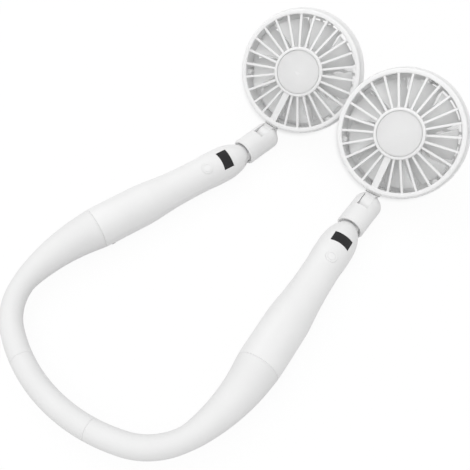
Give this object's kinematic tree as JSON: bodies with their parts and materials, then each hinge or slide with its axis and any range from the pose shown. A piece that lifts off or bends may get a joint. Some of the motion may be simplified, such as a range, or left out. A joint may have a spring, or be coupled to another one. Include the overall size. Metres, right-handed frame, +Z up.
{
  "type": "hands-free neck fan",
  "caption": "Hands-free fan worn round the neck: bendable silicone neckband, grip arms with button and display, hinged swivelling round fan heads on their ends.",
  "frame": {"origin": "centre of the bounding box at ground height, with the fan lying on its arms", "axes": "+X to the side of the arm whose fan head is nearer the viewer in the picture, +Y from the back of the neck to the fan heads, +Z up"},
  "size_m": [0.1854, 0.3314, 0.091],
  "materials": {
    "silicone_white": "soft satin silicone",
    "gooseneck_metal": "coiled steel",
    "clamp_brass": "turned",
    "shell_white": "fine satin",
    "housing_white": "fine satin",
    "grille_white": "fine satin",
    "badge_white": "satin",
    "blade_white": "satin",
    "button_white": "satin",
    "screw_steel": "zinc plated",
    "pin_steel": "ground",
    "cell_wrap": "shrink wrap",
    "board_green": "solder mask",
    "display_black": "plain",
    "window_dark": "smoked, glossy",
    "socket_steel": "bright",
    "motor_can": "plain"
  },
  "bodies": {
    "neckband": {"neck_sleeve": "silicone_white", "neck_core": "gooseneck_metal"},
    "arm_left": {"flex_sleeve_left": "silicone_white", "gooseneck_left": "gooseneck_metal", "gooseneck_clamp_left": "clamp_brass", "arm_shell_top_left": "shell_white", "arm_shell_bottom_left": "shell_white", "arm_screws_left": "screw_steel", "battery_left": "cell_wrap", "circuit_board_left": "board_green", "display_module_left": "display_black", "display_window_left": "window_dark", "usb_socket_left": "socket_steel", "yaw_pin_left": "pin_steel"},
    "button_left": {"button_left": "button_white"},
    "link_left": {"link_shell_top_left": "shell_white", "link_shell_bottom_left": "shell_white", "link_screws_left": "screw_steel", "tilt_pin_left": "pin_steel"},
    "stem_left": {"stem_left": "shell_white", "stem_clip_left": "pin_steel"},
    "head_left": {"rim_housing_left": "housing_white", "front_grille_left": "grille_white", "badge_disc_left": "badge_white", "rear_cover_left": "housing_white", "motor_left": "motor_can", "head_screws_left": "screw_steel"},
    "impeller_left": {"impeller_left": "blade_white", "motor_shaft_left": "pin_steel"},
    "arm_right": {"flex_sleeve_right": "silicone_white", "gooseneck_right": "gooseneck_metal", "gooseneck_clamp_right": "clamp_brass", "arm_shell_top_right": "shell_white", "arm_shell_bottom_right": "shell_white", "arm_screws_right": "screw_steel", "battery_right": "cell_wrap", "circuit_board_right": "board_green", "display_module_right": "display_black", "display_window_right": "window_dark", "usb_socket_right": "socket_steel", "yaw_pin_right": "pin_steel"},
    "button_right": {"button_right": "button_white"},
    "link_right": {"link_shell_top_right": "shell_white", "link_shell_bottom_right": "shell_white", "link_screws_right": "screw_steel", "tilt_pin_right": "pin_steel"},
    "stem_right": {"stem_right": "shell_white", "stem_clip_right": "pin_steel"},
    "head_right": {"rim_housing_right": "housing_white", "front_grille_right": "grille_white", "badge_disc_right": "badge_white", "rear_cover_right": "housing_white", "motor_right": "motor_can", "head_screws_right": "screw_steel"},
    "impeller_right": {"impeller_right": "blade_white", "motor_shaft_right": "pin_steel"}
  },
  "joints": [
    {"name": "neck_bend_left", "type": "hinge", "parent": "neckband", "child": "arm_left", "pos_m": [-0.07079, -0.13088, 0.01766], "axis": [0, 0.0279, 0.9996], "range_deg": [0, 25], "deforming": ["flex_sleeve_left", "gooseneck_left"]},
    {"name": "link_yaw_left", "type": "hinge", "parent": "arm_left", "child": "link_left", "pos_m": [-0.0509, 0.05773, 0.01239], "axis": [0, 0.0279, 0.9996], "range_deg": [0, 20]},
    {"name": "head_tilt_left", "type": "hinge", "parent": "link_left", "child": "stem_left", "pos_m": [-0.04943, 0.08668, 0.01158], "axis": [0.9987, -0.0506, 0.0014], "range_deg": [-90, 20]},
    {"name": "head_turn_left", "type": "hinge", "parent": "stem_left", "child": "head_left", "pos_m": [-0.04892, 0.09716, 0.0234], "axis": [0.0325, 0.6631, 0.7478], "range_deg": [0, 45]},
    {"name": "impeller_spin_left", "type": "hinge", "parent": "head_left", "child": "impeller_left", "pos_m": [-0.04555, 0.11844, 0.05747], "axis": [0.2968, -0.7209, 0.6263], "continuous": true},
    {"name": "button_press_left", "type": "slide", "parent": "arm_left", "child": "button_left", "axis": [-0.4281, 0.069, -0.9011], "range_m": [0, 0.0005], "stiffness_N_per_m": 600, "springref_m": -0.0006},
    {"name": "neck_bend_right", "type": "hinge", "parent": "neckband", "child": "arm_right", "pos_m": [0.07146, -0.13088, 0.01766], "axis": [0, -0.0279, -0.9996], "range_deg": [0, 25], "deforming": ["flex_sleeve_right", "gooseneck_right"]},
    {"name": "link_yaw_right", "type": "hinge", "parent": "arm_right", "child": "link_right", "pos_m": [0.05157, 0.05773, 0.01239], "axis": [0, -0.0279, -0.9996], "range_deg": [0, 25]},
    {"name": "head_tilt_right", "type": "hinge", "parent": "link_right", "child": "stem_right", "pos_m": [0.04748, 0.08643, 0.01159], "axis": [-0.99, -0.1408, 0.0039], "range_deg": [-20, 90]},
    {"name": "head_turn_right", "type": "hinge", "parent": "stem_right", "child": "head_right", "pos_m": [0.04598, 0.09734, 0.02292], "axis": [-0.0954, 0.6904, 0.7171], "range_deg": [0, 60]},
    {"name": "impeller_spin_right", "type": "hinge", "parent": "head_right", "child": "impeller_right", "pos_m": [0.04355, 0.11989, 0.05624], "axis": [0.1947, -0.6935, 0.6936], "continuous": true},
    {"name": "button_press_right", "type": "slide", "parent": "arm_right", "child": "button_right", "axis": [-0.3018, -0.0929, -0.9488], "range_m": [0, 0.0005], "stiffness_N_per_m": 600, "springref_m": -0.0006}
  ]
}
